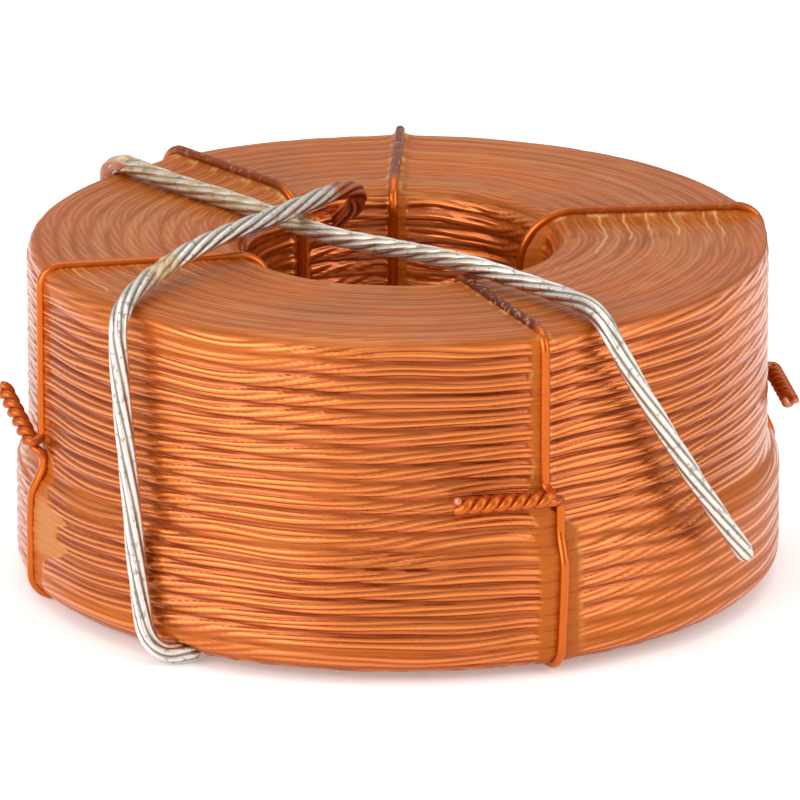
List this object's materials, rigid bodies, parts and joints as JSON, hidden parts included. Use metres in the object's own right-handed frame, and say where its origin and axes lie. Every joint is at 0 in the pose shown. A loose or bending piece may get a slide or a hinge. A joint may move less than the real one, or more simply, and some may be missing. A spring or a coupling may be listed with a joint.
{
  "type": "air core inductor",
  "caption": "Wax-dipped air core inductor: a ring of stranded copper wire bound with tie wires, with tinned leads laid over its top.",
  "frame": {"origin": "on the coil's axis, at the level of the ties' undersides that the coil stands on", "axes": "+Z along the coil's axis, upwards; -Y towards the side where the leads hang down"},
  "size_m": [0.0865, 0.0849, 0.0413],
  "materials": {
    "waxed_winding": "waxed copper wire, glossy",
    "tinned_wire": "tinned strands",
    "enamelled_wire": "enamelled, glossy"
  },
  "bodies": {
    "root": {"winding": "waxed_winding", "start_lead": "tinned_wire", "finish_lead": "tinned_wire", "front_tie": "enamelled_wire", "right_tie": "enamelled_wire", "rear_tie": "enamelled_wire", "rear_left_tie": "enamelled_wire", "left_tie": "enamelled_wire"}
  },
  "joints": []
}
